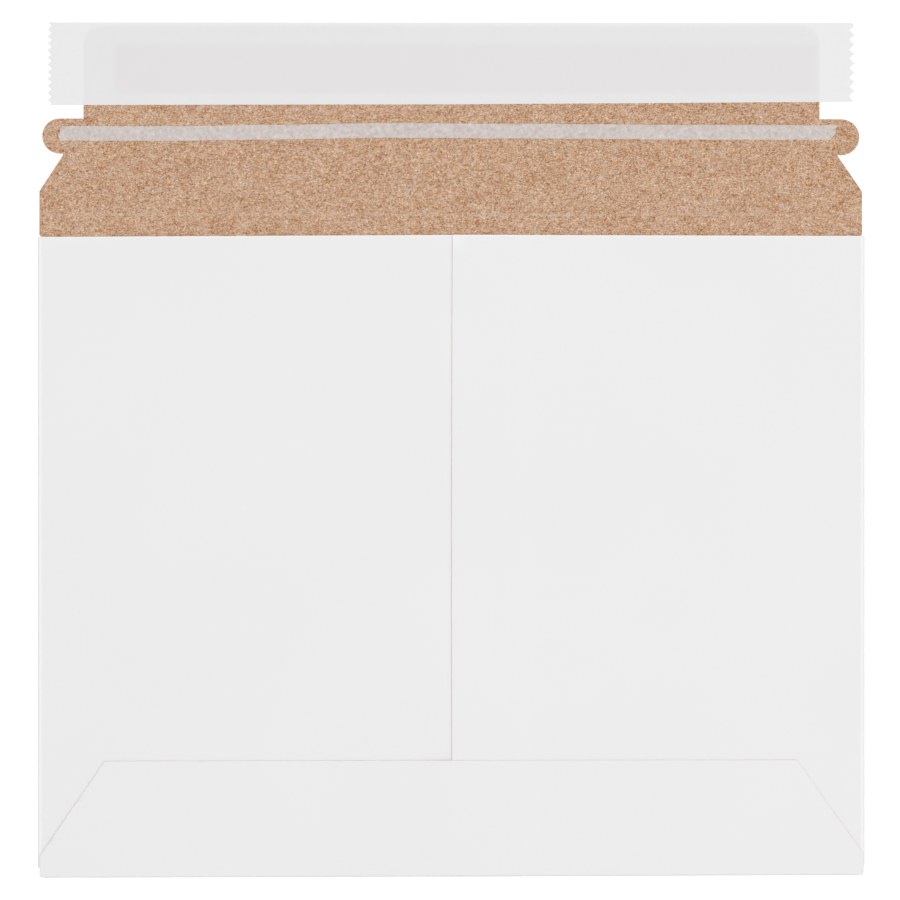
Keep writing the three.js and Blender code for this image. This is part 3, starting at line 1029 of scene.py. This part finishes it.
def liner_paper():
    n = material_nodes("release_liner_paper")
    where = n.place()
    cloud = n.noise(where, scale=0.05, detail=3.0, roughness=0.6)
    curled = n.warp(where, scale=0.4, amount=1.0)
    fibre = n.noise(curled, scale=0.9, detail=3.0, roughness=0.7)
    tone = n.ramp(n.mean(cloud, fibre), LINER_COLOURS)
    bonded = n.math("MULTIPLY", bonded_area(n, where), BONDED_SHARE)
    colour = n.mix(bonded, tone, rgba(LINER_BONDED))
    bump = n.bump(fibre, strength=0.12, distance=0.02 * MM)
    paper = n.principled(Base_Color=colour, Roughness=0.38, Normal=bump)
    clear = n.add("ShaderNodeBsdfTransparent").outputs[0]
    inside = n.add("ShaderNodeNewGeometry").outputs["Backfacing"]
    share = n.math("MAXIMUM", inside, LINER_SHOW_THROUGH)
    return n.finish(n.mix_shaders(share, paper, clear))


# Stage

# In metres and watts. Where the floor is seen, it glows white and is lit a little, which keeps the
# object's shadow; it lights the object as a plain pale floor. The dome is how strongly the world
# lights the object, and where the world is seen it is white
FLOOR_SIZE = 6.0
FLOOR_DROP = 0.02 * MM
FLOOR_LIT = 0.26
FLOOR_GLOW = 0.82
FLOOR_BOUNCE = 0.85
DOME = 0.34
OVERHEAD_POWER = 29.9
OVERHEAD_PLACE = (0.0, 0.05, 2.2)
OVERHEAD_SIZE = 0.8
KEY_POWER = 2.6
KEY_PLACE = (1.15, 0.3, 1.5)
KEY_SIZE = 0.7


def seen_directly(n):
    """1 for rays that show the background: from the camera, in gloss and through clear film."""
    path = n.add("ShaderNodeLightPath").outputs
    share = n.math("ADD", path["Is Camera Ray"], path["Is Glossy Ray"])
    return n.math("ADD", share, path["Is Transmission Ray"], clamp=True)


def floor_material():
    n = material_nodes("pale_floor")
    lit = n.diffuse(FLOOR_LIT)
    glow = n.add("ShaderNodeEmission", {"Strength": FLOOR_GLOW}).outputs[0]
    shown = n.add("ShaderNodeAddShader", {0: lit, 1: glow}).outputs[0]
    return n.finish(n.mix_shaders(seen_directly(n), n.diffuse(FLOOR_BOUNCE), shown))


def make_floor():
    half = FLOOR_SIZE / 2
    corners = [(-half, -half, 0), (half, -half, 0), (half, half, 0), (-half, half, 0)]
    mesh = bpy.data.meshes.new("floor")
    mesh.from_pydata(corners, [], [(0, 1, 2, 3)])
    mesh.materials.append(floor_material())
    floor = bpy.data.objects.new("floor", mesh)
    floor.location.z = -FLOOR_DROP
    bpy.context.scene.collection.objects.link(floor)


def make_world():
    world = bpy.data.worlds.new("studio")
    bpy.context.scene.world = world
    n = Nodes(world, "ShaderNodeOutputWorld")
    spread = {"Value": seen_directly(n), "To Min": DOME, "To Max": 1.0}
    strength = n.add("ShaderNodeMapRange", spread).outputs[0]
    background = {"Color": (1, 1, 1, 1), "Strength": strength}
    n.finish(n.add("ShaderNodeBackground", background).outputs[0])


def area_light(name, place, size, power):
    data = bpy.data.lights.new(name, "AREA")
    data.shape = "DISK"
    data.size = size
    data.energy = power
    light = bpy.data.objects.new(name, data)
    light.location = place
    light.rotation_mode = "QUATERNION"
    light.rotation_quaternion = Vector(place).to_track_quat("Z", "Y")
    bpy.context.scene.collection.objects.link(light)
    return light


def make_stage():
    make_floor()
    make_world()
    overhead = area_light("overhead", OVERHEAD_PLACE, OVERHEAD_SIZE, OVERHEAD_POWER)
    overhead.visible_glossy = False
    area_light("key", KEY_PLACE, KEY_SIZE, KEY_POWER)
    bpy.context.scene.view_settings.view_transform = "Standard"


def dress_frame_nodes():
    """Looks for the frame's own pieces, which stay as they are."""
    finishes = {
        "adhesive_strip": adhesive_film(),
        "seam_glue": dried_glue(),
        "bottom_flap_glue_left": dried_glue(),
        "bottom_flap_glue_right": dried_glue(),
    }
    for name, material in finishes.items():
        node = frame["nodes"][name]
        node.data.materials.clear()
        node.data.materials.append(material)


make_camera()
make_blank([brown_board(), white_board(), cut_edge()])
make_tape([tape_film()] * 3)
make_liner([liner_paper()] * 3)
dress_frame_nodes()
make_stage()
